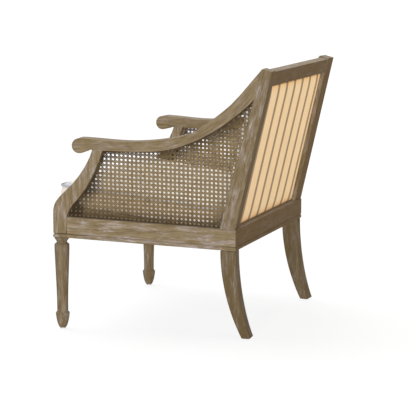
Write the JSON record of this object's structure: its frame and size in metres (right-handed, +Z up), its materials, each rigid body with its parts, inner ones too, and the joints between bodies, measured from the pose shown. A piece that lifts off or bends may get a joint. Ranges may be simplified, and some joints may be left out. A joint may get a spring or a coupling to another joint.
{
  "type": "low lounge armchair",
  "caption": "Low armchair with a show-wood oak frame, scooped arms, woven cane sides, turned front legs, swept rear legs, a loose seat cushion and an upholstered raked back.",
  "frame": {"origin": "on the floor, under the middle of the chair's width and of the depth of its bounding box", "axes": "+Z up, -Y towards the front of the chair, +X towards the sitter's left arm"},
  "size_m": [0.753, 0.666, 0.7884],
  "materials": {
    "weathered_oak": "limed grey-brown oak, open grain, matt",
    "hidden_wood": "plain unfinished softwood and birch",
    "cane": "woven split cane, stained brown",
    "steel": "plain zinc-coated steel",
    "jute_webbing": "coarse jute webbing",
    "ivory_linen": "ivory linen weave",
    "striped_linen": "wheat linen with narrow grey-brown stripes",
    "black_cambric": "thin black bottom cloth"
  },
  "bodies": {
    "frame": {"front_leg_left": "weathered_oak", "front_leg_right": "weathered_oak", "rear_leg_left": "weathered_oak", "rear_leg_right": "weathered_oak", "arm_post_left": "weathered_oak", "arm_post_right": "weathered_oak", "arm_left": "weathered_oak", "arm_right": "weathered_oak", "back_stile_left": "weathered_oak", "back_stile_right": "weathered_oak", "side_rail_left": "weathered_oak", "side_rail_right": "weathered_oak", "front_rail": "weathered_oak", "rear_rail": "weathered_oak", "crest_rail": "weathered_oak", "lower_back_rail": "hidden_wood", "cane_panel_left": "cane", "cane_panel_right": "cane", "cane_bead_left": "weathered_oak", "cane_bead_right": "weathered_oak", "front_corner_blocks": "hidden_wood", "rear_corner_blocks": "hidden_wood", "corner_screws": "steel", "front_leg_bolts": "steel", "rear_leg_dowels": "hidden_wood", "stile_dowels": "hidden_wood", "arm_dowels": "hidden_wood", "arm_back_dowels": "hidden_wood", "rail_dowels": "hidden_wood", "back_rail_dowels": "hidden_wood", "floor_glides": "steel", "seat_cleats": "hidden_wood", "seat_webbing": "jute_webbing", "seat_deck": "ivory_linen", "dust_cover": "black_cambric", "back_webbing": "jute_webbing", "outer_back_board": "hidden_wood", "outer_back_cover": "striped_linen", "inner_back_pad": "ivory_linen"},
    "seat_cushion": {"seat_cushion": "ivory_linen"}
  },
  "joints": [
    {"name": "cushion_lift", "type": "slide", "parent": "frame", "child": "seat_cushion", "axis": [0, 0, 1], "range_m": [0, 0.15]}
  ]
}
